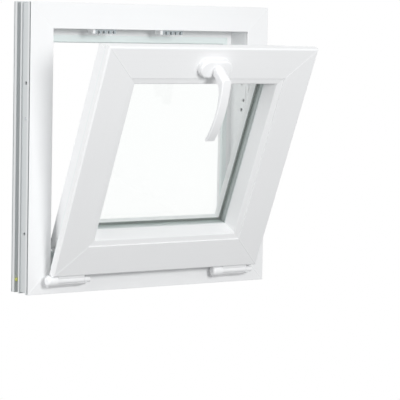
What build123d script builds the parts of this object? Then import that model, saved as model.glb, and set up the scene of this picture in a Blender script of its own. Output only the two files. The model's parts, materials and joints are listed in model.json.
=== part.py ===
"""Bottom-hung hopper window of white PVC profiles, its sash tilted open into the room.

Millimetres, +Z up, +X to the right as seen from the room, +Y outdoors. The origin is on the
underside of the sill's outer foot, in the middle of the window. Sections are drawn as
(depth, inward) points: depth is measured from the frame's room face towards outdoors, and
inward from the frame's outer edge towards the middle of the window.
"""
import os

from build123d import *

# Fixed frame
window_width = 600.0
window_height = 600.0
frame_depth = 70.0
frame_face = 54.0          # width of the face seen from the room
leg_height = 29.0          # outdoor leg, above the rebate
leg_thickness = 11.0
edge_round = 1.2
rebate_lip = 1.5           # front wall at the rebate, before its groove
rebate_groove_width = 6.5
rebate_groove_depth = 2.0
leg_groove_height = 8.0    # groove at the foot of the outdoor leg
leg_groove_depth = 3.0

# Grooves along the outer edge of the frame profile, from the room side outwards
front_lip = 1.0
front_groove_width = 4.2
front_groove_depth = 6.0
rim_width = 6.8
channel_depth = 3.0
ridge_width = 5.0
groove_width = 15.0
groove_depth = 13.0
foot_width = 9.0
back_groove_width = 2.5
back_groove_depth = 3.0
back_lip = 2.5

# Drain slots in the sill's outdoor face
drain_length = 28.0
drain_height = 5.0
drain_depth = 6.0
drain_up = 22.0
drain_spacing = 320.0

# Fixing holes through the jambs
fixing_hole_radius = 3.75
fixing_depth = 22.0
fixing_low = 124.0
fixing_spacing = 310.0

# Sash profile
sash_overlap = 13.0        # sash lip over the frame face
sash_projection = 26.0     # sash face in front of the frame face
lip_gap = 5.0
rebate_gap = 14.0
sash_face = 66.0           # flat face, between the bevel and the glazing bead
sash_back_gap = 5.0        # sash to the frame's outdoor leg
lip_bevel = 3.0
lip_side = 11.5            # lip's edge behind the bevel, before its back slopes in
lip_slope = 6.5
face_round = 1.5           # face's edge along the bead
hardware_groove_width = 16.0
hardware_groove_depth = 3.0
hardware_groove_at = 11.0  # depth where the hardware groove starts
open_angle = 23.3

# Glazing
bead_front = 12.5
bead_slope = 10.0
bead_recess = 2.0          # bead behind the sash face
bead_lean = 1.5            # bead's front leans back towards the glass
bead_round = 3.5
glass_setback = 34.0       # sash face to the inner pane
pane = 4.0
cavity = 16.0
seal_thickness = 2.0
seal_showing = 1.5
glass_edge_gap = 5.0
spacer_height = 8.0
spacer_setback = 3.0       # spacer behind the edge of the bead
sealant = 4.0              # dark sealant between the spacer and each pane
sealant_rise = 0.4
block_length = 80.0
block_spacing = 200.0

# Gaskets between sash and frame
gasket_width = 15.0        # on the frame's outdoor leg
gasket_heel = 1.5
gasket_lip = 4.0
gasket_clear = 0.4
gasket_setback = 0.4
lip_gasket_width = 5.5     # under the sash lip
mitre_gap = 0.2

# Hinges
hinge_length = 103.0
hinge_inset_left = 32.5    # frame's left edge to the left hinge
hinge_inset_right = 49.0   # right hinge to the frame's right edge
hinge_out = 19.0           # axis in front of the frame face
hinge_up = 28.7            # axis above the frame's lower edge
barrel_radius = 6.0
pin_radius = 3.0
running_clearance = 0.05
bulb_length = 24.0
bulb_radius = 10.5
bulb_round = 5.0
web_inset = 12.0           # end of the bulb to the web that holds it
collar_length = 15.0
knuckle_gap = 0.5
saddle_gap = 0.8           # skirt of the base to the turning barrel
base_thickness = 5.0
base_low = 14.0
base_high = 36.0
skirt_out = 24.0
skirt_low = 22.4
skirt_high = 23.4
base_chamfer = 9.0
leaf_thickness = 6.0

# Locking pieces
keep_length = 57.0
keep_width = 20.0
keep_height = 9.0
keep_plate = 3.0
keep_rib = 6.0
keep_block = 6.0
keep_at = 8.0              # depth where the keeps start
keep_left_x = -147.0
keep_right_x = 21.5
keep_slots = 4
keep_slot = 6.5
keep_slot_pitch = 12.0
cut_over = 1.0
faceplate_length = 400.0
faceplate_slack = 0.3
cam_radius = 5.0
cam_head_radius = 6.5
cam_head = 2.5
cam_height = 8.0
cam_offset = 17.0

# Handle
handle_below_edge = 83.0   # handle's axis below the frame's top edge
rosette_length = 78.0
rosette_height = 38.0
rosette_thickness = 15.0
rosette_round = 5.0
neck_radius = 10.4
neck_out = 21.0            # round neck before the lever widens
neck_half = 10.4
lever_width = 22.0
lever_round = 2.6
arm_round = 6.5            # along the top of the arm, up to the crease
crease_out = 57.0          # crease at the elbow, from the sash face
crease_drop = 4.0
# front and back of the grip, as (out of the sash face, down from the handle's axis)
grip_front = [(63.5, 39.0), (65.5, 78.0), (61.5, 114.0), (54.5, 138.5)]
grip_tip = (51.0, 142.0)
grip_back = [(48.0, 138.0), (54.8, 110.0), (58.0, 78.0), (54.3, 43.0), (45.5, 25.5), (34.0, 15.5)]

# Screw holes in the left stile's edge and the right jamb's rebate, as (depth, height) points
stile_hole_radius = 2.2
stile_holes = [(29.0, 99.0), (32.5, 78.0)]
jamb_hole_radius = 4.0
jamb_holes = [(15.0, 398.0), (22.0, 377.0)]
hole_depth = 3.0

rim_start = front_lip + front_groove_width
channel_start = rim_start + rim_width
foot_end = frame_depth - back_lip - back_groove_width
foot_start = foot_end - foot_width
groove_start = foot_start - groove_width
channel_end = groove_start - ridge_width
foot_middle = foot_end - foot_width / 2
leg_top = frame_face + leg_height
rebate_depth = frame_depth - leg_thickness
sash_edge = frame_face - sash_overlap
body_edge = frame_face + rebate_gap
face_inner = sash_edge + lip_bevel + sash_face
bead_edge = face_inner + bead_front + bead_slope
glass_edge = face_inner + glass_edge_gap
face_depth = -sash_projection
lip_back = -lip_gap
sash_back = rebate_depth - sash_back_gap
pane_depth = face_depth + glass_setback
cavity_depth = pane_depth + pane
outer_pane_depth = cavity_depth + cavity
glass_back = outer_pane_depth + pane
hinge_y = -hinge_out - foot_middle
handle_height = window_height - handle_below_edge


def section(points, rounds=None):
    """Face of (depth, inward) points across a bar along X; rounds maps a point to its radius."""
    face = make_face(Polyline(*[(depth - foot_middle, inward) for depth, inward in points], close=True))
    for (depth, inward), radius in (rounds or {}).items():
        corner = face.vertices().sort_by_distance((depth - foot_middle, inward, 0))[0]
        face = fillet(corner, radius)
    return Plane.YZ * face


def mitred(face, run, trim):
    """A bar of one section along X, cut at 45 degrees at both ends."""
    bar = Pos(-run / 2, 0, 0) * extrude(face, run, dir=(1, 0, 0))
    reach = min(window_width, window_height) / 3
    half = run / 2 - trim
    outline = make_face(Polyline((-half, 0), (half, 0), (half - reach, reach), (reach - half, reach), close=True))
    return bar & extrude(Plane.XZ * outline, frame_depth * 2, both=True)


def bars(face, trim=0.0):
    """Four mitred bars of one section round the window, by side."""
    middle = window_height / 2
    return {
        "bottom": mitred(face, window_width, trim),
        "top": Pos(0, 0, window_height) * Rot(0, 180, 0) * mitred(face, window_width, trim),
        "left": Pos(-window_width / 2, 0, middle) * Rot(0, 90, 0) * mitred(face, window_height, trim),
        "right": Pos(window_width / 2, 0, middle) * Rot(0, -90, 0) * mitred(face, window_height, trim),
    }


def block(x0, x1, depth0, depth1, z0, z1):
    """A box between two X, two depths and two heights."""
    corner = Pos((x0 + x1) / 2, (depth0 + depth1) / 2 - foot_middle, (z0 + z1) / 2)
    return corner * Box(x1 - x0, depth1 - depth0, z1 - z0)


def rod(x0, x1, radius):
    """A round bar on the hinge axis."""
    return Pos((x0 + x1) / 2, hinge_y, hinge_up) * Rot(0, 90, 0) * Cylinder(radius, x1 - x0)


def tilted(piece):
    """Swing a piece of the closed sash about the hinge axis to the open position."""
    return Pos(0, hinge_y, hinge_up) * Rot(open_angle, 0, 0) * Pos(0, -hinge_y, -hinge_up) * piece


def frame_section():
    """Frame profile: grooved outer edge, room face, rebate and outdoor leg."""
    rebate_groove_end = rebate_lip + rebate_groove_width
    rebate_floor = frame_face - rebate_groove_depth
    leg_groove_end = frame_face + leg_groove_height
    leg_groove_floor = rebate_depth + leg_groove_depth
    return section(
        [(0, 0), (front_lip, 0), (front_lip, front_groove_depth), (rim_start, front_groove_depth), (rim_start, 0),
         (channel_start, 0), (channel_start, channel_depth), (channel_end, channel_depth), (channel_end, 0),
         (groove_start, 0), (groove_start, groove_depth), (foot_start, groove_depth), (foot_start, 0),
         (foot_end, 0), (foot_end, back_groove_depth), (frame_depth - back_lip, back_groove_depth),
         (frame_depth - back_lip, 0), (frame_depth, 0),
         (frame_depth, leg_top), (rebate_depth, leg_top), (rebate_depth, leg_groove_end),
         (leg_groove_floor, leg_groove_end), (leg_groove_floor, frame_face),
         (rebate_groove_end, frame_face), (rebate_groove_end, rebate_floor), (rebate_lip, rebate_floor),
         (rebate_lip, frame_face), (0, frame_face)],
        {(0, 0): front_lip * 0.8, (0, frame_face): edge_round, (frame_depth, 0): edge_round,
         (frame_depth, leg_top): edge_round * 3, (rebate_depth, leg_top): edge_round})


def gasket_section():
    """Weather gasket on the frame's outdoor leg: a heel on the leg and a lip towards the sash."""
    high = leg_top - gasket_setback
    tip = sash_back + gasket_clear
    return section(
        [(rebate_depth, high - gasket_width), (rebate_depth, high), (tip, high - gasket_heel),
         (tip, high - gasket_heel - gasket_lip), (rebate_depth - gasket_heel, high - gasket_width)],
        {(tip, high - gasket_heel): edge_round, (tip, high - gasket_heel - gasket_lip): edge_round})


def sash_section():
    """Sash profile: bevelled lip, hardware groove, and the leg behind the glass."""
    bevel_end = face_depth + lip_bevel
    groove_end = hardware_groove_at + hardware_groove_width
    groove_floor = body_edge + hardware_groove_depth
    leg_start = glass_back + seal_thickness
    return section(
        [(face_depth, sash_edge + lip_bevel), (bevel_end, sash_edge), (bevel_end + lip_side, sash_edge),
         (lip_back, sash_edge + lip_slope), (lip_back, body_edge), (hardware_groove_at, body_edge),
         (hardware_groove_at, groove_floor), (groove_end, groove_floor), (groove_end, body_edge),
         (sash_back, body_edge), (sash_back, bead_edge), (leg_start, bead_edge), (leg_start, face_inner),
         (face_depth, face_inner)],
        {(face_depth, sash_edge + lip_bevel): edge_round, (bevel_end, sash_edge): edge_round,
         (bevel_end + lip_side, sash_edge): edge_round, (sash_back, body_edge): edge_round,
         (sash_back, bead_edge): edge_round * 3, (face_depth, face_inner): face_round})


def bead_section():
    """Glazing bead: its front lies a step behind the sash face, then slopes to the glass."""
    front = face_depth + bead_recess
    back = pane_depth - seal_thickness
    shoulder = face_inner + bead_front
    return section(
        [(front, face_inner), (front + bead_lean, shoulder), (back - seal_thickness, bead_edge), (back, bead_edge),
         (back, face_inner)],
        {(front + bead_lean, shoulder): bead_round})


def strip(depth0, depth1, inward0, inward1):
    """Rectangular section."""
    return section([(depth0, inward0), (depth1, inward0), (depth1, inward1), (depth0, inward1)])


def fixing_holes(side):
    """Drills for the two wall fixings of one jamb."""
    x = side * (window_width / 2 - frame_face / 2)
    drill = Rot(0, 90, 0) * Cylinder(fixing_hole_radius, frame_face * 2)
    y = fixing_depth - foot_middle
    return [Pos(x, y, fixing_low) * drill, Pos(x, y, fixing_low + fixing_spacing) * drill]


def pane_sheet(depth):
    return block(glass_edge - window_width / 2, window_width / 2 - glass_edge, depth, depth + pane,
                 glass_edge, window_height - glass_edge)


def keep(x):
    """Striker under the head: a plate with a slotted rib that the locking cam pulls behind."""
    top = window_height - frame_face
    start = x + keep_block
    end = x + keep_length
    plate = block(start, end, keep_at, keep_at + keep_width, top - keep_plate, top)
    rib = block(start, end, keep_at, keep_at + keep_rib, top - keep_height, top)
    middle = (start + end) / 2
    first = middle - keep_slot_pitch * (keep_slots - 1) / 2
    slots = []
    for number in range(keep_slots):
        at = first + number * keep_slot_pitch
        slots.append(block(at - keep_slot / 2, at + keep_slot / 2, keep_at - cut_over, keep_at + keep_rib + cut_over,
                           top - keep_height - cut_over, top - keep_plate))
    return plate + rib - slots


def keep_end(x):
    top = window_height - frame_face
    return block(x, x + keep_block, keep_at, keep_at + keep_width, top - keep_height, top)


def hinge_base(x):
    """Frame leaf: a plate and a sloping skirt under the barrel, with the bulb and the collar at its ends."""
    end = x + hinge_length
    bulb_end = x + bulb_length - knuckle_gap
    collar_start = end - collar_length + knuckle_gap
    side = [(0, base_low), (-base_thickness, base_low), (-skirt_out, skirt_low), (-skirt_out, skirt_high),
            (-base_thickness, skirt_high), (-base_thickness, base_high), (0, base_high)]
    face = make_face(Polyline(*[(depth - foot_middle, z) for depth, z in side], close=True))
    length = end - x - web_inset - collar_length / 2
    base = Pos(x + web_inset, 0, 0) * extrude(Plane.YZ * face, length, dir=(1, 0, 0))
    corner = Polyline((end, base_low), (end - collar_length / 2 - base_chamfer, base_low),
                      (end, base_low + base_chamfer), close=True)
    base -= extrude(Plane.XZ * make_face(corner), frame_depth * 2, both=True)
    bulb = rod(x, bulb_end, bulb_radius)
    bulb = fillet(bulb.edges().filter_by(GeomType.CIRCLE).sort_by(Axis.X)[:1], bulb_round)
    bulb_web = block(x + web_inset, bulb_end, -hinge_out, 0, hinge_up - bulb_radius, hinge_up + bulb_radius)
    collar = rod(collar_start, end, barrel_radius)
    collar_web = block(collar_start, end, -hinge_out, 0, hinge_up - barrel_radius, hinge_up + barrel_radius)
    base -= rod(bulb_end, collar_start, barrel_radius + saddle_gap)
    return base + bulb + bulb_web + collar + collar_web - rod(x + bulb_round, end - knuckle_gap, pin_radius)


def hinge_pin(x):
    return rod(x + bulb_round, x + hinge_length - knuckle_gap, pin_radius)


def hinge_leaf(x):
    """Sash leaf: the middle knuckle and the plate that carries the sash's lower lip."""
    start = x + bulb_length
    end = x + hinge_length - collar_length
    plate = block(start, end, -hinge_out - leaf_thickness / 2, -hinge_out + leaf_thickness / 2, hinge_up, sash_edge)
    return plate + rod(start, end, barrel_radius) - rod(start, end, pin_radius + running_clearance)


def lock_cam(x):
    """Mushroom stud on the faceplate."""
    stem = Cylinder(cam_radius, cam_height - cam_head, align=(Align.CENTER, Align.CENTER, Align.MIN))
    head = Cylinder(cam_head_radius, cam_head, align=(Align.CENTER, Align.CENTER, Align.MIN))
    middle = hardware_groove_at + hardware_groove_width / 2 - foot_middle
    return Pos(x, middle, window_height - body_edge) * (stem + Pos(0, 0, cam_height - cam_head) * head)


def on_sash_face(piece):
    """Stand a piece drawn in XY, with +Z towards the room, on the sash face at the handle."""
    return Pos(0, face_depth - foot_middle, handle_height) * Rot(90, 0, 0) * piece


def rosette():
    plate = extrude(SlotOverall(rosette_length, rosette_height), rosette_thickness)
    plate = fillet(plate.faces().sort_by(Axis.Z)[-1].edges(), rosette_round)
    bore = Cylinder(neck_radius + running_clearance, rosette_thickness * 3)
    return on_sash_face(plate - bore)


def lever():
    """Round neck out of the rosette, then a lever that creases at the elbow into a bowed, tapering grip."""
    neck = Cylinder(neck_radius, neck_out, align=(Align.CENTER, Align.CENTER, Align.MIN))
    neck = Pos(0, 0, knuckle_gap) * neck
    crease = (crease_out, -crease_drop)
    front_points = [(out, -down) for out, down in grip_front]
    back_points = [(out, -down) for out, down in grip_back]
    shoulder = (neck_out - knuckle_gap, neck_half)
    armpit = (neck_out - knuckle_gap, -neck_half)
    outline = [
        Line(shoulder, crease), Spline(crease, *front_points),
        ThreePointArc(front_points[-1], (grip_tip[0], -grip_tip[1]), back_points[0]),
        Spline(*back_points, armpit), Line(armpit, shoulder)]
    across = Plane((0, 0, 0), x_dir=(0, 0, 1), z_dir=(-1, 0, 0))
    grip = extrude(across * make_face(outline), lever_width / 2, both=True)
    flank = [edge for edge in grip.edges()
             if abs(abs(edge.center().X) - lever_width / 2) < 0.01 and edge.center().Z > neck_out]
    grip = fillet(flank, lever_round)
    arm_top = Plane((0, shoulder[1], shoulder[0]), x_dir=(1, 0, 0),
                    z_dir=(0, crease[1] - shoulder[1], crease[0] - shoulder[0]))
    reach = grip_tip[1] * 2
    grip &= extrude(arm_top * Pos(0, -reach / 2) * RectangleRounded(lever_width, reach, arm_round), reach, both=True)
    return on_sash_face(neck + grip)


def screw_holes(points, x, radius):
    """Short drills along X at (depth, height) points."""
    drill = Rot(0, 90, 0) * Cylinder(radius, hole_depth * 2)
    return [Pos(x, depth - foot_middle, z) * drill for depth, z in points]


def drain_slots():
    slot = extrude(Plane.XZ * SlotOverall(drain_length, drain_height), drain_depth, both=True)
    y = frame_depth - foot_middle
    return [Pos(x, y, drain_up) * slot for x in (-drain_spacing / 2, drain_spacing / 2)]


def main():
    parts = {}
    frame = bars(frame_section())
    parts["frame_head"] = frame["top"]
    parts["frame_sill"] = frame["bottom"] - drain_slots()
    parts["frame_left_jamb"] = frame["left"] - fixing_holes(-1)
    stay_holes = screw_holes(jamb_holes, window_width / 2 - frame_face, jamb_hole_radius)
    parts["frame_right_jamb"] = frame["right"] - fixing_holes(1) - stay_holes
    parts["frame_gasket"] = Compound(list(bars(gasket_section(), mitre_gap).values()))

    sash = bars(sash_section())
    parts["sash_top_rail"] = sash["top"]
    parts["sash_bottom_rail"] = sash["bottom"]
    edge_holes = screw_holes(stile_holes, body_edge - window_width / 2, stile_hole_radius)
    parts["sash_left_stile"] = sash["left"] - edge_holes
    parts["sash_right_stile"] = sash["right"]
    for side, bead in bars(bead_section()).items():
        parts[f"bead_{side}"] = bead
    gasket_edge = sash_edge + lip_slope + gasket_setback
    lip_gasket = strip(lip_back, -gasket_clear, gasket_edge, gasket_edge + lip_gasket_width)
    parts["sash_gasket"] = Compound(list(bars(lip_gasket, mitre_gap).values()))
    seal_end = bead_edge + seal_showing
    inner_seal = strip(pane_depth - seal_thickness, pane_depth, glass_edge, seal_end)
    outer_seal = strip(glass_back, glass_back + seal_thickness, glass_edge, seal_end)
    parts["glazing_seal_inner"] = Compound(list(bars(inner_seal, mitre_gap).values()))
    parts["glazing_seal_outer"] = Compound(list(bars(outer_seal, mitre_gap).values()))
    parts["pane_inner"] = pane_sheet(pane_depth)
    parts["pane_outer"] = pane_sheet(outer_pane_depth)
    spacer_end = bead_edge - spacer_setback
    spacer_start = spacer_end - spacer_height
    spacer = strip(cavity_depth + sealant, outer_pane_depth - sealant, spacer_start, spacer_end)
    parts["glass_spacer"] = Compound(list(bars(spacer, mitre_gap).values()))
    inner_sealant = strip(cavity_depth, cavity_depth + sealant, spacer_start, spacer_end + sealant_rise)
    outer_sealant = strip(outer_pane_depth - sealant, outer_pane_depth, spacer_start, spacer_end + sealant_rise)
    parts["glass_sealant"] = Compound(
        list(bars(inner_sealant, mitre_gap).values()) + list(bars(outer_sealant, mitre_gap).values()))
    parts["setting_blocks"] = Compound([
        block(x - block_length / 2, x + block_length / 2, pane_depth, glass_back, face_inner, glass_edge)
        for x in (-block_spacing / 2, block_spacing / 2)])

    groove_middle = hardware_groove_at + hardware_groove_width / 2
    half_plate = hardware_groove_width / 2 - faceplate_slack
    top_edge = window_height - body_edge
    parts["lock_faceplate"] = block(-faceplate_length / 2, faceplate_length / 2, groove_middle - half_plate,
                                    groove_middle + half_plate, top_edge - hardware_groove_depth, top_edge)
    parts["lock_cams"] = Compound([lock_cam(keep_left_x - cam_offset), lock_cam(keep_right_x - cam_offset)])
    hinge_left_x = hinge_inset_left - window_width / 2
    hinge_right_x = window_width / 2 - hinge_inset_right - hinge_length
    parts["hinge_leaf_left"] = hinge_leaf(hinge_left_x)
    parts["hinge_leaf_right"] = hinge_leaf(hinge_right_x)
    parts["handle_rosette"] = rosette()
    parts["handle_lever"] = lever()
    frame_names = {"frame_head", "frame_sill", "frame_left_jamb", "frame_right_jamb", "frame_gasket"}
    for name in parts.keys() - frame_names:
        parts[name] = tilted(parts[name])

    parts["keep_left"] = keep(keep_left_x)
    parts["keep_right"] = keep(keep_right_x)
    parts["keep_ends"] = Compound([keep_end(keep_left_x), keep_end(keep_right_x)])
    parts["hinge_base_left"] = hinge_base(hinge_left_x)
    parts["hinge_base_right"] = hinge_base(hinge_right_x)
    parts["hinge_pin_left"] = hinge_pin(hinge_left_x)
    parts["hinge_pin_right"] = hinge_pin(hinge_right_x)

    os.makedirs("parts", exist_ok=True)
    for name, piece in parts.items():
        export_step(piece, f"parts/{name}.step")


main()
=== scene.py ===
"""Looks of the hopper window: finishes, fittings, weld seams and the studio round it."""
import json
import math

import bmesh
import bpy
from bpy.props import FloatProperty, FloatVectorProperty, PointerProperty
from bpy.types import Operator, Panel, PropertyGroup
from mathutils import Matrix, Vector


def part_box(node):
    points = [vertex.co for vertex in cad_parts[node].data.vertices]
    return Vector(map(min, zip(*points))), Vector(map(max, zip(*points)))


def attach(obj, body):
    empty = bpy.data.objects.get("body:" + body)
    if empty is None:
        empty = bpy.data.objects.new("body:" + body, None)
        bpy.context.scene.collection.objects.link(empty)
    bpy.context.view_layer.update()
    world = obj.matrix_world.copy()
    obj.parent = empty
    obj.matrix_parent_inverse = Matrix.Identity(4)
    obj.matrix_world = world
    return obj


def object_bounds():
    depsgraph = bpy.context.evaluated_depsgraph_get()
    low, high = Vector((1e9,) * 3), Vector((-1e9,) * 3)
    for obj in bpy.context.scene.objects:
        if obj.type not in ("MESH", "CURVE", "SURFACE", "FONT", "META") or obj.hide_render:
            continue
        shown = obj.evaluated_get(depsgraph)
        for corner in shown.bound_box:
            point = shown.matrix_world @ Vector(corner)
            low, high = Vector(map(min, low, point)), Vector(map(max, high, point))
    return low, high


bl_info = {
    "name": "Hopper window looks",
    "version": (1, 0, 0),
    "blender": (4, 5, 0),
    "location": "View3D > Sidebar > Window",
    "description": "Dresses the hopper window and sets the studio round it",
    "category": "3D View",
}

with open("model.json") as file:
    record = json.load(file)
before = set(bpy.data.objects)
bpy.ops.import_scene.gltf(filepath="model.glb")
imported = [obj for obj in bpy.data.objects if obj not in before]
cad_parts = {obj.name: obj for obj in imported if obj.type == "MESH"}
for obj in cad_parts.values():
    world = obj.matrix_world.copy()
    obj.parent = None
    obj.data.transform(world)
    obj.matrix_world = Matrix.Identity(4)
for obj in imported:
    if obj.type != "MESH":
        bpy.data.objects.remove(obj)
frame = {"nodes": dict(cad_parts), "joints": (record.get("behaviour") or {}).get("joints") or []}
NODES = frame["nodes"]
JOINTS = {joint["name"]: joint for joint in frame["joints"]}
CAD_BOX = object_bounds()
MM = 0.001

# The fixed frame: its outer corners, its middle, and its face, which ends where the keeps sit under the head.
FRAME_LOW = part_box("frame_sill")[0]
FRAME_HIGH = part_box("frame_head")[1]
MIDDLE = (FRAME_LOW + FRAME_HIGH) / 2
FACE_WIDTH = FRAME_HIGH.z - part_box("keep_left")[1].z

# SWING takes the shut sash to its open place at rest. SASH_FACE is a point of the shut sash's room face.
HINGE = Vector(JOINTS["sash_tilt"]["pos_m"])
TILT = -math.radians(JOINTS["sash_tilt"]["range_deg"][0])
SWING = Matrix.Translation(HINGE) @ Matrix.Rotation(TILT, 4, "X") @ Matrix.Translation(-HINGE)
SASH_FACE = SWING.inverted() @ Vector(JOINTS["handle_turn"]["pos_m"])

# Section of a weld seam, in shares of its width and height: (across, out). The left side is the gentle one.
WELD_SECTION = ((-0.5, -0.2), (-0.5, 0.0), (0.2, 1.0), (0.35, 0.9), (0.5, 0.0), (0.5, -0.2))

# Half outline of the plug, in shares of its radius: (from its axis, outwards). The last three are its stem.
PLUG_OUTLINE = ((0.0, 1.0), (0.55, 0.92), (0.85, 0.65), (1.0, 0.25), (1.0, -0.4),
                (0.7, -0.5), (0.7, -2.9), (0.0, -3.1))
PLUG_SIDES = 24

# A screw's head and the arms of its cross, in shares of the head's radius.
HEAD_SIDES = 24
HEAD_TOP = 0.7
CROSS_LENGTH = 1.0
CROSS_WIDTH = 0.24

# Keep screws: shares of the keep's length, and their inset from its outdoor edge in head radii.
KEEP_SCREWS = (0.25, 0.75)
KEEP_INSET = 1.6

# Lock screws: shares of the way from the faceplate's middle to its end screws, whose inset is in head radii.
LOCK_SCREWS = (-1, -0.3, 0.45, 1)
LOCK_INSET = 3

# The picture's side in pixels and the camera's sensor in mm.
PHOTO_SIDE = 400
SENSOR_WIDTH = 36.0

# The floor fades out between these shares of its radius.
FADE_START = 0.5
FADE_END = 0.98
FLOOR_SIDES = 96


class ProfileLooks(PropertyGroup):
    """Finish of the extruded profiles, fittings and seals."""
    white: FloatVectorProperty(
        name="White", description="Colour of the profiles",
        subtype="COLOR", default=(0.9, 0.905, 0.91), min=0, max=1)
    # Painted shade: the frame's outer edge is painted grey, fully in its grooves and by a share on the strips
    # between them.
    painted_shade_grey: FloatVectorProperty(
        name="Shade", description="Colour of the profile in its outer grooves",
        subtype="COLOR", default=(0.63, 0.655, 0.66), min=0, max=1)
    # How far in from the outer edge the painted shade reaches.
    painted_shade_depth: FloatProperty(
        name="Core's reach", description="Depth of the outer grooves that show the core",
        unit="LENGTH", default=13.2 * MM)
    edge_lip: FloatProperty(
        name="Edge lip", description="Skin at the edges of the outer grooves",
        unit="LENGTH", default=0.5 * MM)
    # The strips between the grooves get this share of the painted shade.
    strip_share: FloatProperty(
        name="Strips", description="Share of the core's tone on the strips between grooves",
        default=0.6, min=0, max=1)
    die_lines: FloatProperty(
        name="Die lines", description="Strength of the fine lines along the bars",
        default=0.012, min=0, max=1)
    line_run: FloatProperty(
        name="Line run", description="Length over which a die line changes",
        unit="LENGTH", default=0.4)
    line_spacing: FloatProperty(
        name="Line spacing", description="Distance between die lines",
        unit="LENGTH", default=1.5 * MM)
    sheen_roughness: FloatProperty(
        name="Roughness", description="Gloss of the profiles",
        default=0.32, min=0, max=1)
    coat_white: FloatVectorProperty(
        name="Coating", description="Colour of the coated handle and hinges",
        subtype="COLOR", default=(0.92, 0.925, 0.932), min=0, max=1)
    gasket_grey: FloatVectorProperty(
        name="Gasket", description="Colour of the frame and lip gaskets",
        subtype="COLOR", default=(0.8, 0.87, 0.86), min=0, max=1)
    inner_seal_grey: FloatVectorProperty(
        name="Inner seal", description="Colour of the seal on the room side",
        subtype="COLOR", default=(0.66, 0.7, 0.7), min=0, max=1)
    outer_seal_grey: FloatVectorProperty(
        name="Outer seal", description="Colour of the seal on the outdoor side",
        subtype="COLOR", default=(0.19, 0.228, 0.214), min=0, max=1)
    cast_grey: FloatVectorProperty(
        name="Keeps", description="Colour of the cast keeps",
        subtype="COLOR", default=(0.4, 0.44, 0.46), min=0, max=1)
    zinc: FloatVectorProperty(
        name="Zinc", description="Colour of the plated fittings",
        subtype="COLOR", default=(0.62, 0.65, 0.67), min=0, max=1)
    # Painted shade: the screws in the right jamb's rebate are near black to stand for the shade in the holes
    # they sit in.
    hole_shade_black: FloatVectorProperty(
        name="Dark screws", description="Colour of the screws in the jamb's rebate",
        subtype="COLOR", default=(0.02, 0.022, 0.024), min=0, max=1)


class TrimLooks(PropertyGroup):
    """Weld seams, screws and the plug."""
    seam_width: FloatProperty(
        name="Seam width", description="Width of a corner weld",
        unit="LENGTH", default=2.4 * MM)
    seam_height: FloatProperty(
        name="Seam height", description="Rise of a corner weld",
        unit="LENGTH", default=0.5 * MM)
    frame_seam_height: FloatProperty(
        name="Frame seam height", description="Rise of the frame's scraped welds",
        unit="LENGTH", default=0.3 * MM)
    sash_bevel: FloatProperty(
        name="Sash bevel", description="Bevel at the edge of the sash face",
        unit="LENGTH", default=3 * MM)
    screw_radius: FloatProperty(
        name="Screw head", description="Radius of a screw head",
        unit="LENGTH", default=3.6 * MM)
    screw_height: FloatProperty(
        name="Screw head height", description="Rise of a screw head",
        unit="LENGTH", default=1.6 * MM)
    plate_thickness: FloatProperty(
        name="Plates", description="Thickness of the keeps and the lock's faceplate",
        unit="LENGTH", default=3 * MM)
    channel_floor: FloatProperty(
        name="Channel floor", description="Depth of the channel in the frame's edge",
        unit="LENGTH", default=3 * MM)
    channel_middle: FloatProperty(
        name="Channel middle", description="Room face to the middle of that channel",
        unit="LENGTH", default=22 * MM)
    channel_screw_up: FloatProperty(
        name="Channel screw", description="Height of the screw in each jamb's channel",
        unit="LENGTH", default=361 * MM)
    rebate_hole: FloatProperty(
        name="Rebate hole", description="Depth of the holes in the right jamb's rebate",
        unit="LENGTH", default=3 * MM)
    rebate_screw_high: FloatVectorProperty(
        name="Upper rebate screw", description="Its place from face and foot",
        subtype="TRANSLATION", default=(15 * MM, 398 * MM), size=2)
    rebate_screw_low: FloatVectorProperty(
        name="Lower rebate screw", description="Its place from face and foot",
        subtype="TRANSLATION", default=(22 * MM, 377 * MM), size=2)
    plug_yellow: FloatVectorProperty(
        name="Plug", description="Colour of the plug in the left jamb's groove",
        subtype="COLOR", default=(0.56, 0.58, 0.14), min=0, max=1)
    plug_radius: FloatProperty(
        name="Plug radius", description="Radius of the plug",
        unit="LENGTH", default=4 * MM)
    plug_place: FloatVectorProperty(
        name="Plug's place", description="Room face and frame's foot to the plug",
        subtype="TRANSLATION", default=(51.7 * MM, 27 * MM), size=2)


class GlassLooks(PropertyGroup):
    """The double glazing."""
    tint: FloatVectorProperty(
        name="Tint", description="Colour that each face of the glass lets through",
        subtype="COLOR", default=(0.989, 0.997, 0.993), min=0, max=1)
    ior: FloatProperty(
        name="Index of refraction", description="Refraction of the panes",
        default=1.5, min=1, max=2)
    sealant: FloatVectorProperty(
        name="Sealant", description="Colour of the sealant along the panes' edges",
        subtype="COLOR", default=(0.26, 0.32, 0.3), min=0, max=1)
    spacer_grey: FloatVectorProperty(
        name="Spacer", description="Colour of the spacer between the panes",
        subtype="COLOR", default=(0.5, 0.54, 0.54), min=0, max=1)
    block_blue: FloatVectorProperty(
        name="Blocks", description="Colour of the setting blocks",
        subtype="COLOR", default=(0.1, 0.16, 0.35), min=0, max=1)


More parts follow.
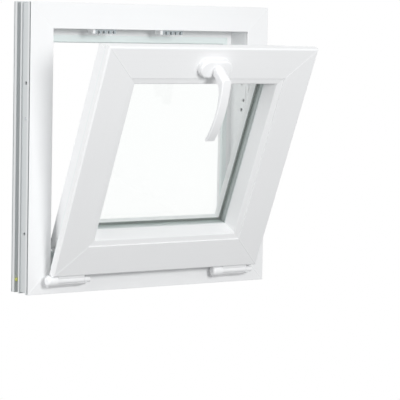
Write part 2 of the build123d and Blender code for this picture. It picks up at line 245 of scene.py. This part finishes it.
class StageLooks(PropertyGroup):
    """Camera, light and floor."""
    azimuth: FloatProperty(
        name="Azimuth", description="Camera's bearing",
        subtype="ANGLE", default=math.radians(-35.12))
    elevation: FloatProperty(
        name="Elevation", description="Camera's height angle",
        subtype="ANGLE", default=math.radians(4.88))
    roll: FloatProperty(
        name="Roll", description="Camera's turn about its view",
        subtype="ANGLE", default=math.radians(1.11))
    distance: FloatProperty(
        name="Distance", description="Camera to target",
        unit="LENGTH", default=4.38854)
    target: FloatVectorProperty(
        name="Target", description="Point that the camera looks at",
        subtype="TRANSLATION", default=(0.12687, -0.0605, 0.18216))
    focal_pixels: FloatProperty(
        name="Focal length", description="Focal length in picture pixels",
        default=2029.9)
    sky_light: FloatProperty(name="Sky light", description="Soft light from above", default=0.56, min=0)
    ground_light: FloatProperty(
        name="Ground light", description="Soft light from below",
        default=0.35, min=0)
    horizon_blur: FloatProperty(
        name="Horizon", description="Half height over which one fades to the other",
        default=0.2, min=0)
    soft_tone: FloatVectorProperty(
        name="Soft light", description="Colour of the soft light",
        subtype="COLOR", default=(0.98, 0.99, 1.0), min=0, max=1)
    key_power: FloatProperty(
        name="Key lamp", description="Power of the key lamp",
        subtype="POWER", default=44, min=0)
    key_place: FloatVectorProperty(
        name="Key lamp's place", description="In the room, nearly in front",
        subtype="TRANSLATION", default=(-0.15, -3.0, 1.0))
    key_size: FloatProperty(
        name="Key lamp's size", description="Width of the key lamp",
        unit="LENGTH", default=0.9)
    side_power: FloatProperty(
        name="Side lamp", description="Power of the lamp at the left",
        subtype="POWER", default=43, min=0)
    side_place: FloatVectorProperty(
        name="Side lamp's place", description="At the left of the window",
        subtype="TRANSLATION", default=(-2.8, -0.3, 1.2))
    back_power: FloatProperty(
        name="Back lamp", description="Power of the lamp outdoors",
        subtype="POWER", default=24, min=0)
    back_place: FloatVectorProperty(
        name="Back lamp's place", description="Outdoors, a little to the right",
        subtype="TRANSLATION", default=(0.6, 3.0, 0.8))
    soft_size: FloatProperty(
        name="Soft lamps' size", description="Width of the side and back lamps",
        unit="LENGTH", default=2.2)
    floor_grey: FloatVectorProperty(
        name="Floor", description="Colour of the floor",
        subtype="COLOR", default=(0.9, 0.9, 0.9), min=0, max=1)
    floor_drop: FloatProperty(
        name="Floor drop", description="Floor below the window",
        unit="LENGTH", default=0.65)
    floor_radius: FloatProperty(
        name="Floor radius", description="Size of the floor",
        unit="LENGTH", default=1.2)


def looks():
    return bpy.context.scene.profile_looks


def trim():
    return bpy.context.scene.trim_looks


def glass():
    return bpy.context.scene.glass_looks


def opaque(colour):
    return (*colour, 1.0)


def add_node(tree, kind, label="", **values):
    """A node with its sockets set by name."""
    node = tree.nodes.new(kind)
    node.label = label
    for name, value in values.items():
        node.inputs[name.replace("_", " ")].default_value = value
    return node


def feed(tree, value, socket):
    """Link a socket to another one, or set it to a plain value."""
    if isinstance(value, bpy.types.NodeSocket):
        tree.links.new(value, socket)
    else:
        socket.default_value = value


def add_math(tree, operation, *values):
    """Result of a Math node whose inputs are sockets or plain numbers."""
    node = tree.nodes.new("ShaderNodeMath")
    node.operation = operation
    for value, socket in zip(values, node.inputs):
        feed(tree, value, socket)
    return node.outputs["Value"]


def mix_colours(tree, blend, factor, first, second):
    """Result of a Mix node for two colours; each input is a socket or a plain value."""
    node = tree.nodes.new("ShaderNodeMix")
    node.data_type = "RGBA"
    node.blend_type = blend
    feed(tree, factor, node.inputs["Factor"])
    feed(tree, first, node.inputs["A"])
    feed(tree, second, node.inputs["B"])
    return node.outputs["Result"]


def new_group(name, kind, inputs, outputs):
    """A node group with named sockets, and its input and output nodes."""
    group = bpy.data.node_groups.new(name, kind)
    for way, sockets in (("INPUT", inputs), ("OUTPUT", outputs)):
        for label, sort in sockets.items():
            group.interface.new_socket(label, in_out=way, socket_type=f"NodeSocket{sort}")
    return group, group.nodes.new("NodeGroupInput"), group.nodes.new("NodeGroupOutput")


def drift_tone(group, noise, amount, colour):
    """A colour that a noise makes lighter and darker by an amount, and the factor that does it."""
    shift = add_node(group, "ShaderNodeMapRange", "tone", To_Min=-1.0, To_Max=1.0)
    group.links.new(noise.outputs["Fac"], shift.inputs["Value"])
    factor = add_math(group, "MULTIPLY_ADD", shift.outputs["Result"], amount, 1.0)
    return mix_colours(group, "MULTIPLY", 1.0, colour, factor), factor


def surface_group():
    """Node group for moulded and coated surfaces: slight drift of tone and gloss, and a fine grain."""
    known = bpy.data.node_groups.get("fine_surface")
    if known:
        return known
    group, start, end = new_group(
        "fine_surface", "ShaderNodeTree",
        {"Colour": "Color", "Drift": "Float", "Roughness": "Float", "Grain Scale": "Float",
         "Grain Height": "Float"},
        {"Colour": "Color", "Roughness": "Float", "Normal": "Vector"})
    place = group.nodes.new("ShaderNodeTexCoord")
    broad = add_node(group, "ShaderNodeTexNoise", "broad drift", Scale=9.0, Detail=2.0)
    fine = add_node(group, "ShaderNodeTexNoise", "grain", Detail=3.0)
    bump = add_node(group, "ShaderNodeBump", "grain height", Distance=0.4 * MM)
    link = group.links.new
    link(place.outputs["Object"], broad.inputs["Vector"])
    link(place.outputs["Object"], fine.inputs["Vector"])
    link(start.outputs["Grain Scale"], fine.inputs["Scale"])
    link(start.outputs["Grain Height"], bump.inputs["Strength"])
    link(fine.outputs["Fac"], bump.inputs["Height"])
    tone, factor = drift_tone(group, broad, start.outputs["Drift"], start.outputs["Colour"])
    link(tone, end.inputs["Colour"])
    link(add_math(group, "MULTIPLY", start.outputs["Roughness"], factor), end.inputs["Roughness"])
    link(bump.outputs["Normal"], end.inputs["Normal"])
    return group


def surface_material(name, colour, roughness, drift, grain_scale, grain_height, metallic=0.0):
    """Opaque finish on the fine_surface group."""
    known = bpy.data.materials.get(name)
    if known:
        return known
    material = bpy.data.materials.new(name)
    material.use_nodes = True
    tree = material.node_tree
    shader = tree.nodes["Principled BSDF"]
    shader.inputs["Metallic"].default_value = metallic
    fine = tree.nodes.new("ShaderNodeGroup")
    fine.node_tree = surface_group()
    fine.inputs["Colour"].default_value = opaque(colour)
    fine.inputs["Drift"].default_value = drift
    fine.inputs["Roughness"].default_value = roughness
    fine.inputs["Grain Scale"].default_value = grain_scale
    fine.inputs["Grain Height"].default_value = grain_height
    tree.links.new(fine.outputs["Colour"], shader.inputs["Base Color"])
    tree.links.new(fine.outputs["Roughness"], shader.inputs["Roughness"])
    tree.links.new(fine.outputs["Normal"], shader.inputs["Normal"])
    return material


def die_line_group():
    """Node group for extruded bars: fine lines along the bar that shift the tone."""
    known = bpy.data.node_groups.get("die_lines")
    if known:
        return known
    group, start, end = new_group(
        "die_lines", "ShaderNodeTree",
        {"Colour": "Color", "Amount": "Float", "Turn": "Vector", "Spacing": "Vector"}, {"Colour": "Color"})
    place = group.nodes.new("ShaderNodeTexCoord")
    along = group.nodes.new("ShaderNodeMapping")
    along.vector_type = "TEXTURE"
    lines = add_node(group, "ShaderNodeTexNoise", "lines", Scale=1.0, Detail=2.0)
    link = group.links.new
    link(place.outputs["Object"], along.inputs["Vector"])
    link(start.outputs["Turn"], along.inputs["Rotation"])
    link(start.outputs["Spacing"], along.inputs["Scale"])
    link(along.outputs["Vector"], lines.inputs["Vector"])
    tone = drift_tone(group, lines, start.outputs["Amount"], start.outputs["Colour"])[0]
    link(tone, end.inputs["Colour"])
    return group


def painted_outer_shade_group():
    """Node group for the frame: a mask of its outer edge, full in its grooves and a share on the strips,
    where grey is painted as shade.
    """
    known = bpy.data.node_groups.get("painted_outer_shade")
    if known:
        return known
    group, _, end = new_group("painted_outer_shade", "ShaderNodeTree", {}, {"Mask": "Float"})
    place = group.nodes.new("ShaderNodeTexCoord")
    split = group.nodes.new("ShaderNodeSeparateXYZ")
    group.links.new(place.outputs["Object"], split.inputs["Vector"])
    aside = add_math(group, "ABSOLUTE", split.outputs["X"])
    above = add_math(group, "ABSOLUTE", add_math(group, "SUBTRACT", split.outputs["Z"], MIDDLE.z))
    outward = add_math(group, "MAXIMUM", aside, above)
    half = FRAME_HIGH.x
    lip = looks().edge_lip
    sunk = add_node(group, "ShaderNodeMapRange", "grooves more than strips", From_Min=half - lip,
                    From_Max=half, To_Min=1.0, To_Max=looks().strip_share)
    group.links.new(outward, sunk.inputs["Value"])
    mask = sunk.outputs["Result"]
    for test in (add_math(group, "GREATER_THAN", outward, half - looks().painted_shade_depth),
                 add_math(group, "GREATER_THAN", split.outputs["Y"], FRAME_LOW.y + lip),
                 add_math(group, "LESS_THAN", split.outputs["Y"], FRAME_HIGH.y - lip)):
        mask = add_math(group, "MULTIPLY", mask, test)
    group.links.new(mask, end.inputs["Mask"])
    return group


def satin_profile(run, turn=0.0, painted_shade=False):
    """White profile with lines along its run (X or Z); the last argument adds grey painted as shade on the
    frame's outer edge, darkest in its grooves.
    """
    name = f"satin_profile_{run.lower()}{'_tilted' if turn else ''}{'_frame' if painted_shade else ''}"
    known = bpy.data.materials.get(name)
    if known:
        return known
    material = surface_material(name, looks().white, roughness=looks().sheen_roughness, drift=0.012,
                                grain_scale=420.0, grain_height=0.05)
    tree = material.node_tree
    fine = next(node for node in tree.nodes if node.type == "GROUP")
    along, across = looks().line_run, looks().line_spacing
    lines = tree.nodes.new("ShaderNodeGroup")
    lines.node_tree = die_line_group()
    lines.inputs["Colour"].default_value = opaque(looks().white)
    lines.inputs["Amount"].default_value = looks().die_lines
    lines.inputs["Turn"].default_value = (turn, 0, 0)
    lines.inputs["Spacing"].default_value = (along, across, across) if run == "X" else (across, across, along)
    tree.links.new(lines.outputs["Colour"], fine.inputs["Colour"])
    # Painted shade: the mask mixes grey into the white of the frame's outer edge.
    if painted_shade:
        mask = tree.nodes.new("ShaderNodeGroup")
        mask.node_tree = painted_outer_shade_group()
        skin = mix_colours(tree, "MIX", mask.outputs["Mask"], opaque(looks().white),
                           opaque(looks().painted_shade_grey))
        tree.links.new(skin, lines.inputs["Colour"])
    return material


def powder_coat():
    return surface_material("powder_coat", looks().coat_white, roughness=0.28, drift=0.01,
                            grain_scale=900.0, grain_height=0.08)


def moulded_white():
    return surface_material("moulded_white", looks().coat_white, roughness=0.45, drift=0.015,
                            grain_scale=500.0, grain_height=0.06)


def gasket_rubber():
    return surface_material("gasket_rubber", looks().gasket_grey, roughness=0.6, drift=0.03,
                            grain_scale=700.0, grain_height=0.12)


def inner_seal_rubber():
    return surface_material("inner_seal_rubber", looks().inner_seal_grey, roughness=0.55, drift=0.03,
                            grain_scale=700.0, grain_height=0.12)


def outer_seal_rubber():
    return surface_material("outer_seal_rubber", looks().outer_seal_grey, roughness=0.55, drift=0.05,
                            grain_scale=700.0, grain_height=0.15)


def zinc_finish():
    return surface_material("zinc_finish", looks().zinc, roughness=0.34, drift=0.06,
                            grain_scale=260.0, grain_height=0.1, metallic=1.0)


# Near-black steel: painted shade of the holes that the rebate screws sit in.
def hole_shade_steel():
    return surface_material("hole_shade_steel", looks().hole_shade_black, roughness=0.5, drift=0.06,
                            grain_scale=260.0, grain_height=0.1, metallic=0.5)


def cast_zinc():
    return surface_material("cast_zinc", looks().cast_grey, roughness=0.55, drift=0.06,
                            grain_scale=320.0, grain_height=0.15, metallic=0.4)


def edge_sealant():
    return surface_material("edge_sealant", glass().sealant, roughness=0.5, drift=0.05,
                            grain_scale=600.0, grain_height=0.1)


def spacer_finish():
    return surface_material("spacer_finish", glass().spacer_grey, roughness=0.5, drift=0.05,
                            grain_scale=600.0, grain_height=0.1, metallic=0.6)


def block_plastic():
    return surface_material("block_plastic", glass().block_blue, roughness=0.5, drift=0.02,
                            grain_scale=400.0, grain_height=0.08)


def plug_plastic():
    return surface_material("plug_plastic", trim().plug_yellow, roughness=0.45, drift=0.04,
                            grain_scale=500.0, grain_height=0.1)


def float_glass():
    """Clear pane that lets lamp light straight through."""
    known = bpy.data.materials.get("float_glass")
    if known:
        return known
    material = bpy.data.materials.new("float_glass")
    material.use_nodes = True
    tree = material.node_tree
    shader = tree.nodes["Principled BSDF"]
    shader.inputs["Base Color"].default_value = opaque(glass().tint)
    shader.inputs["Roughness"].default_value = 0.0
    shader.inputs["IOR"].default_value = glass().ior
    shader.inputs["Transmission Weight"].default_value = 1.0
    path = tree.nodes.new("ShaderNodeLightPath")
    through = add_node(tree, "ShaderNodeBsdfTransparent", "light through", Color=opaque(glass().tint))
    mix = tree.nodes.new("ShaderNodeMixShader")
    unseen = add_math(tree, "MAXIMUM", path.outputs["Is Shadow Ray"], path.outputs["Is Diffuse Ray"])
    tree.links.new(unseen, mix.inputs["Fac"])
    tree.links.new(shader.outputs["BSDF"], mix.inputs[1])
    tree.links.new(through.outputs["BSDF"], mix.inputs[2])
    tree.links.new(mix.outputs["Shader"], tree.nodes["Material Output"].inputs["Surface"])
    return material


def dress(names, material):
    """Give CAD nodes one finish."""
    for name in names:
        for slot in NODES[name].material_slots:
            slot.material = material


class WINDOW_OT_profiles(Operator):
    """Finish the frame, sash and beads"""
    bl_idname = "window.profiles"
    bl_label = "Profiles"

    def execute(self, context):
        # The frame's bars carry grey painted as shade on their outer edge.
        dress(("frame_head", "frame_sill"), satin_profile("X", painted_shade=True))
        dress(("frame_left_jamb", "frame_right_jamb"), satin_profile("Z", painted_shade=True))
        dress(("sash_top_rail", "sash_bottom_rail", "bead_top", "bead_bottom"), satin_profile("X"))
        dress(("sash_left_stile", "sash_right_stile", "bead_left", "bead_right"), satin_profile("Z", TILT))
        return {"FINISHED"}


class WINDOW_OT_seals(Operator):
    """Finish the gaskets, glazing seals and sealant"""
    bl_idname = "window.seals"
    bl_label = "Seals"

    def execute(self, context):
        dress(("frame_gasket", "sash_gasket"), gasket_rubber())
        dress(("glazing_seal_inner",), inner_seal_rubber())
        dress(("glazing_seal_outer",), outer_seal_rubber())
        dress(("glass_sealant",), edge_sealant())
        return {"FINISHED"}


class WINDOW_OT_glazing(Operator):
    """Finish the panes, spacer and setting blocks"""
    bl_idname = "window.glazing"
    bl_label = "Glazing"

    def execute(self, context):
        dress(("pane_inner", "pane_outer"), float_glass())
        dress(("glass_spacer",), spacer_finish())
        dress(("setting_blocks",), block_plastic())
        return {"FINISHED"}


class WINDOW_OT_fittings(Operator):
    """Finish the keeps, lock, hinges and handle"""
    bl_idname = "window.fittings"
    bl_label = "Fittings"

    def execute(self, context):
        dress(("keep_left", "keep_right"), cast_zinc())
        dress(("lock_faceplate", "lock_cams", "hinge_pin_left", "hinge_pin_right"), zinc_finish())
        dress(("keep_ends",), moulded_white())
        dress(("hinge_base_left", "hinge_base_right", "hinge_leaf_left", "hinge_leaf_right"), powder_coat())
        dress(("handle_rosette", "handle_lever"), powder_coat())
        return {"FINISHED"}


def new_piece(name, bm, material, body):
    """Turn a bmesh into a piece that rides on a body."""
    bmesh.ops.recalc_face_normals(bm, faces=bm.faces)
    mesh = bpy.data.meshes.new(name)
    bm.to_mesh(mesh)
    bm.free()
    mesh.materials.append(material)
    piece = bpy.data.objects.new(name, mesh)
    bpy.context.scene.collection.objects.link(piece)
    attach(piece, body)


def add_seam(bm, start, end, height, place):
    """A low weld ridge between two points of a face that looks towards the room."""
    width = trim().seam_width
    run = (end - start).normalized()
    across = Vector((run.z, 0, -run.x))
    if across.x < 0:
        across = -across
    out = Vector((0, -1, 0))
    rings = []
    for point in (start, end):
        corners = [point + across * aside * width + out * rise * height for aside, rise in WELD_SECTION]
        rings.append([bm.verts.new(place @ corner) for corner in corners])
    for here in range(len(WELD_SECTION)):
        there = (here + 1) % len(WELD_SECTION)
        bm.faces.new((rings[0][here], rings[0][there], rings[1][there], rings[1][here]))
    bm.faces.new(rings[0])
    bm.faces.new(reversed(rings[1]))


def corner_seams(name, outer, inner, face_y, height, place, body):
    """Weld ridges at the four mitres of a face; outer and inner are insets from the frame's edge."""
    bm = bmesh.new()
    reach = FRAME_HIGH - MIDDLE
    for side in (-1, 1):
        for top in (-1, 1):
            ends = [Vector((MIDDLE.x + side * (reach.x - inset), face_y, MIDDLE.z + top * (reach.z - inset)))
                    for inset in (outer, inner)]
            add_seam(bm, *ends, height, place)
    new_piece(name, bm, satin_profile("X"), body)


class WINDOW_OT_welds(Operator):
    """Corner welds of the frame and the sash"""
    bl_idname = "window.welds"
    bl_label = "Welds"

    def execute(self, context):
        still = Matrix.Identity(4)
        corner_round = trim().seam_width
        corner_seams("frame_welds", corner_round, FACE_WIDTH - corner_round, FRAME_LOW.y,
                     trim().frame_seam_height, still, "frame")
        sash_edge = FRAME_HIGH.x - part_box("sash_top_rail")[1].x + trim().sash_bevel
        bead_foot = FRAME_HIGH.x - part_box("bead_top")[1].x
        corner_seams("sash_welds", sash_edge + corner_round, bead_foot - corner_round, SASH_FACE.y,
                     trim().seam_height, SWING, "sash")
        return {"FINISHED"}


def screw_tree():
    """Geometry Nodes tree that puts a cross-head screw at each point, along the point's facing."""
    known = bpy.data.node_groups.get("cross_screws")
    if known:
        return known
    tree, start, end = new_group(
        "cross_screws", "GeometryNodeTree",
        {"Places": "Geometry", "Head Radius": "Float", "Head Height": "Float", "Finish": "Material"},
        {"Screws": "Geometry"})
    link = tree.links.new
    radius, height = start.outputs["Head Radius"], start.outputs["Head Height"]

    def vector(x, y, z):
        node = tree.nodes.new("ShaderNodeCombineXYZ")
        for value, socket in zip((x, y, z), node.inputs):
            feed(tree, value, socket)
        return node.outputs["Vector"]

    head = add_node(tree, "GeometryNodeMeshCone", "head", Vertices=HEAD_SIDES)
    link(add_math(tree, "MULTIPLY", radius, HEAD_TOP), head.inputs["Radius Top"])
    link(radius, head.inputs["Radius Bottom"])
    link(height, head.inputs["Depth"])
    cut = tree.nodes.new("GeometryNodeMeshBoolean")
    cut.operation = "DIFFERENCE"
    link(head.outputs["Mesh"], cut.inputs["Mesh 1"])
    long_arm = add_math(tree, "MULTIPLY", radius, CROSS_LENGTH)
    short_arm = add_math(tree, "MULTIPLY", radius, CROSS_WIDTH)
    for x, y in ((long_arm, short_arm), (short_arm, long_arm)):
        arm = tree.nodes.new("GeometryNodeMeshCube")
        link(vector(x, y, height), arm.inputs["Size"])
        lift = tree.nodes.new("GeometryNodeTransform")
        link(arm.outputs["Mesh"], lift.inputs["Geometry"])
        link(vector(0.0, 0.0, height), lift.inputs["Translation"])
        link(lift.outputs["Geometry"], cut.inputs["Mesh 2"])
    facing = add_node(tree, "GeometryNodeInputNamedAttribute", "facing", Name="facing")
    facing.data_type = "FLOAT_VECTOR"
    turn = tree.nodes.new("FunctionNodeAlignRotationToVector")
    turn.axis = "Z"
    link(facing.outputs["Attribute"], turn.inputs["Vector"])
    spread = tree.nodes.new("GeometryNodeInstanceOnPoints")
    link(start.outputs["Places"], spread.inputs["Points"])
    link(cut.outputs["Mesh"], spread.inputs["Instance"])
    link(turn.outputs["Rotation"], spread.inputs["Rotation"])
    real = tree.nodes.new("GeometryNodeRealizeInstances")
    finish = tree.nodes.new("GeometryNodeSetMaterial")
    link(spread.outputs["Instances"], real.inputs["Geometry"])
    link(real.outputs["Geometry"], finish.inputs["Geometry"])
    link(start.outputs["Finish"], finish.inputs["Material"])
    link(finish.outputs["Geometry"], end.inputs["Screws"])
    return tree


def make_screws(name, places, body, material):
    """Screws at (point, facing) places on one body."""
    mesh = bpy.data.meshes.new(name)
    mesh.from_pydata([point for point, _ in places], [], [])
    facings = mesh.attributes.new("facing", "FLOAT_VECTOR", "POINT")
    for number, (_, facing) in enumerate(places):
        facings.data[number].vector = facing
    piece = bpy.data.objects.new(name, mesh)
    bpy.context.scene.collection.objects.link(piece)
    tree = screw_tree()
    modifier = piece.modifiers.new("screws", "NODES")
    modifier.node_group = tree
    keys = {item.name: item.identifier for item in tree.interface.items_tree if item.in_out == "INPUT"}
    modifier[keys["Head Radius"]] = trim().screw_radius
    modifier[keys["Head Height"]] = trim().screw_height
    modifier[keys["Finish"]] = material
    piece.update_tag()
    bpy.context.view_layer.update()
    made = bpy.data.meshes.new_from_object(piece.evaluated_get(bpy.context.evaluated_depsgraph_get()))
    piece.modifiers.clear()
    piece.data = made
    made.name = name
    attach(piece, body)


class WINDOW_OT_screws(Operator):
    """Screws in the jambs' channels, the right jamb's rebate, the keeps and the lock's faceplate"""
    bl_idname = "window.screws"
    bl_label = "Screws"

    def execute(self, context):
        on_frame = []
        for side in (-1, 1):
            point = Vector((side * (FRAME_HIGH.x - trim().channel_floor), FRAME_LOW.y + trim().channel_middle,
                            FRAME_LOW.z + trim().channel_screw_up))
            on_frame.append((point, Vector((side, 0, 0))))
        for keep in ("keep_left", "keep_right"):
            low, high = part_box(keep)
            for share in KEEP_SCREWS:
                point = Vector((low.x + (high.x - low.x) * share, high.y - trim().screw_radius * KEEP_INSET,
                                high.z - trim().plate_thickness))
                on_frame.append((point, Vector((0, 0, -1))))
        make_screws("frame_screws", on_frame, "frame", zinc_finish())
        in_rebate = []
        rebate = FRAME_HIGH.x - FACE_WIDTH + trim().rebate_hole
        for deep, up in (trim().rebate_screw_high, trim().rebate_screw_low):
            in_rebate.append((Vector((rebate, FRAME_LOW.y + deep, FRAME_LOW.z + up)), Vector((-1, 0, 0))))
        # Painted shade: the rebate screws are near black for the shade in their holes.
        make_screws("rebate_screws", in_rebate, "frame", hole_shade_steel())
        low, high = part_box("lock_faceplate")
        reach = high.x - trim().screw_radius * LOCK_INSET
        up = SWING.to_3x3() @ Vector((0, 0, 1))
        middle = (low + high) / 2 + up * (trim().plate_thickness - trim().screw_height) / 2
        on_sash = [(middle + Vector((reach * share, 0, 0)), up) for share in LOCK_SCREWS]
        make_screws("sash_screws", on_sash, "sash", zinc_finish())
        return {"FINISHED"}


class WINDOW_OT_plug(Operator):
    """Yellow plug in the groove of the left jamb's outer edge"""
    bl_idname = "window.plug"
    bl_label = "Plug"

    def execute(self, context):
        radius = trim().plug_radius
        deep, up = trim().plug_place
        bm = bmesh.new()
        points = [bm.verts.new((-out * radius, share * radius, 0)) for share, out in PLUG_OUTLINE]
        for here, there in zip(points, points[1:]):
            bm.edges.new((here, there))
        bmesh.ops.spin(bm, geom=bm.verts[:] + bm.edges[:], cent=(0, 0, 0), axis=(1, 0, 0), steps=PLUG_SIDES,
                       angle=math.tau, use_duplicate=False)
        bmesh.ops.remove_doubles(bm, verts=bm.verts, dist=MM / 1000)
        place = Vector((FRAME_LOW.x + radius, FRAME_LOW.y + deep, FRAME_LOW.z + up))
        bmesh.ops.translate(bm, verts=bm.verts, vec=place)
        new_piece("groove_plug", bm, plug_plastic(), "frame")
        return {"FINISHED"}


def camera_axes(stage):
    """Right, up and back of the camera from its bearing, height angle and roll."""
    a, e, r = stage.azimuth, stage.elevation, stage.roll
    back = Vector((math.sin(a) * math.cos(e), -math.cos(a) * math.cos(e), math.sin(e)))
    level = Vector((math.cos(a), math.sin(a), 0))
    rise = back.cross(level)
    right = level * math.cos(r) + rise * math.sin(r)
    up = rise * math.cos(r) - level * math.sin(r)
    return right, up, back


def make_camera(stage):
    """Camera at its distance from the target, with the focal length given in pixels."""
    right, up, back = camera_axes(stage)
    data = bpy.data.cameras.new("camera")
    data.sensor_width = SENSOR_WIDTH
    data.lens = stage.focal_pixels * SENSOR_WIDTH / PHOTO_SIDE
    data.clip_end = 100.0
    camera = bpy.data.objects.new("camera", data)
    turn = Matrix((right, up, back)).transposed().to_4x4()
    camera.matrix_world = Matrix.Translation(Vector(stage.target) + back * stage.distance) @ turn
    bpy.context.scene.collection.objects.link(camera)
    bpy.context.scene.camera = camera


def make_world(stage):
    """White to the eye; the soft light on the window is weaker from the ground than from the sky."""
    world = bpy.data.worlds.new("studio")
    bpy.context.scene.world = world
    world.use_nodes = True
    tree = world.node_tree
    tree.nodes.clear()
    place = tree.nodes.new("ShaderNodeTexCoord")
    split = tree.nodes.new("ShaderNodeSeparateXYZ")
    level = add_node(tree, "ShaderNodeMapRange", "ground to sky", From_Min=-stage.horizon_blur,
                     From_Max=stage.horizon_blur, To_Min=stage.ground_light, To_Max=stage.sky_light)
    soft = add_node(tree, "ShaderNodeBackground", "soft light", Color=opaque(stage.soft_tone))
    plain = add_node(tree, "ShaderNodeBackground", "white", Color=(1, 1, 1, 1), Strength=1.0)
    path = tree.nodes.new("ShaderNodeLightPath")
    mix = tree.nodes.new("ShaderNodeMixShader")
    end = tree.nodes.new("ShaderNodeOutputWorld")
    seen = add_math(tree, "MAXIMUM", path.outputs["Is Camera Ray"], path.outputs["Is Transmission Ray"])
    seen = add_math(tree, "MAXIMUM", seen, path.outputs["Is Glossy Ray"])
    link = tree.links.new
    link(place.outputs["Generated"], split.inputs["Vector"])
    link(split.outputs["Z"], level.inputs["Value"])
    link(level.outputs["Result"], soft.inputs["Strength"])
    link(seen, mix.inputs["Fac"])
    link(soft.outputs["Background"], mix.inputs[1])
    link(plain.outputs["Background"], mix.inputs[2])
    link(mix.outputs["Shader"], end.inputs["Surface"])


def make_lamp(name, place, size, power):
    """Round lamp aimed at the middle of the window."""
    middle = (Vector(CAD_BOX[0]) + Vector(CAD_BOX[1])) / 2
    data = bpy.data.lights.new(name, "AREA")
    data.shape = "DISK"
    data.size = size
    data.energy = power
    lamp = bpy.data.objects.new(name, data)
    lamp.location = place
    lamp.rotation_euler = (middle - Vector(place)).to_track_quat("-Z", "Y").to_euler()
    bpy.context.scene.collection.objects.link(lamp)


def make_floor(stage):
    """Pale round floor below the window that fades out at its rim."""
    mesh = bpy.data.meshes.new("floor")
    bm = bmesh.new()
    bmesh.ops.create_circle(bm, cap_ends=True, segments=FLOOR_SIDES, radius=stage.floor_radius)
    bm.to_mesh(mesh)
    bm.free()
    floor = bpy.data.objects.new("floor", mesh)
    floor.location = (0, 0, -stage.floor_drop)
    bpy.context.scene.collection.objects.link(floor)
    material = bpy.data.materials.new("pale_floor")
    material.use_nodes = True
    tree = material.node_tree
    shader = tree.nodes["Principled BSDF"]
    shader.inputs["Base Color"].default_value = opaque(stage.floor_grey)
    shader.inputs["Roughness"].default_value = 0.8
    place = tree.nodes.new("ShaderNodeTexCoord")
    length = tree.nodes.new("ShaderNodeVectorMath")
    length.operation = "LENGTH"
    fade = add_node(tree, "ShaderNodeMapRange", "fade at the rim", From_Min=stage.floor_radius * FADE_START,
                    From_Max=stage.floor_radius * FADE_END, To_Min=1.0, To_Max=0.0)
    tree.links.new(place.outputs["Object"], length.inputs[0])
    tree.links.new(length.outputs["Value"], fade.inputs["Value"])
    tree.links.new(fade.outputs["Result"], shader.inputs["Alpha"])
    mesh.materials.append(material)
    floor.visible_diffuse = False


class WINDOW_OT_stage(Operator):
    """Camera, light and floor"""
    bl_idname = "window.stage"
    bl_label = "Stage"

    def execute(self, context):
        stage = context.scene.stage_looks
        make_camera(stage)
        make_world(stage)
        make_lamp("key", stage.key_place, stage.key_size, stage.key_power)
        make_lamp("side", stage.side_place, stage.soft_size, stage.side_power)
        make_lamp("back", stage.back_place, stage.soft_size, stage.back_power)
        make_floor(stage)
        context.scene.view_settings.view_transform = "Standard"
        return {"FINISHED"}


class WINDOW_PT_looks(Panel):
    """Sidebar list of the steps"""
    bl_idname = "WINDOW_PT_looks"
    bl_label = "Hopper window"
    bl_space_type = "VIEW_3D"
    bl_region_type = "UI"
    bl_category = "Window"

    def draw(self, context):
        for operator in STEPS:
            self.layout.operator(operator.bl_idname)


STEPS = (WINDOW_OT_profiles, WINDOW_OT_seals, WINDOW_OT_glazing, WINDOW_OT_fittings, WINDOW_OT_welds,
         WINDOW_OT_screws, WINDOW_OT_plug, WINDOW_OT_stage)
GROUPS = {"profile_looks": ProfileLooks, "trim_looks": TrimLooks, "glass_looks": GlassLooks,
          "stage_looks": StageLooks}
CLASSES = (*GROUPS.values(), *STEPS, WINDOW_PT_looks)


def register():
    for cls in CLASSES:
        bpy.utils.register_class(cls)
    for name, cls in GROUPS.items():
        setattr(bpy.types.Scene, name, PointerProperty(type=cls))


def unregister():
    for name in GROUPS:
        delattr(bpy.types.Scene, name)
    for cls in reversed(CLASSES):
        bpy.utils.unregister_class(cls)


def main():
    register()
    for operator in STEPS:
        space, name = operator.bl_idname.split(".")
        getattr(getattr(bpy.ops, space), name)()


if __name__ == "__main__":
    main()
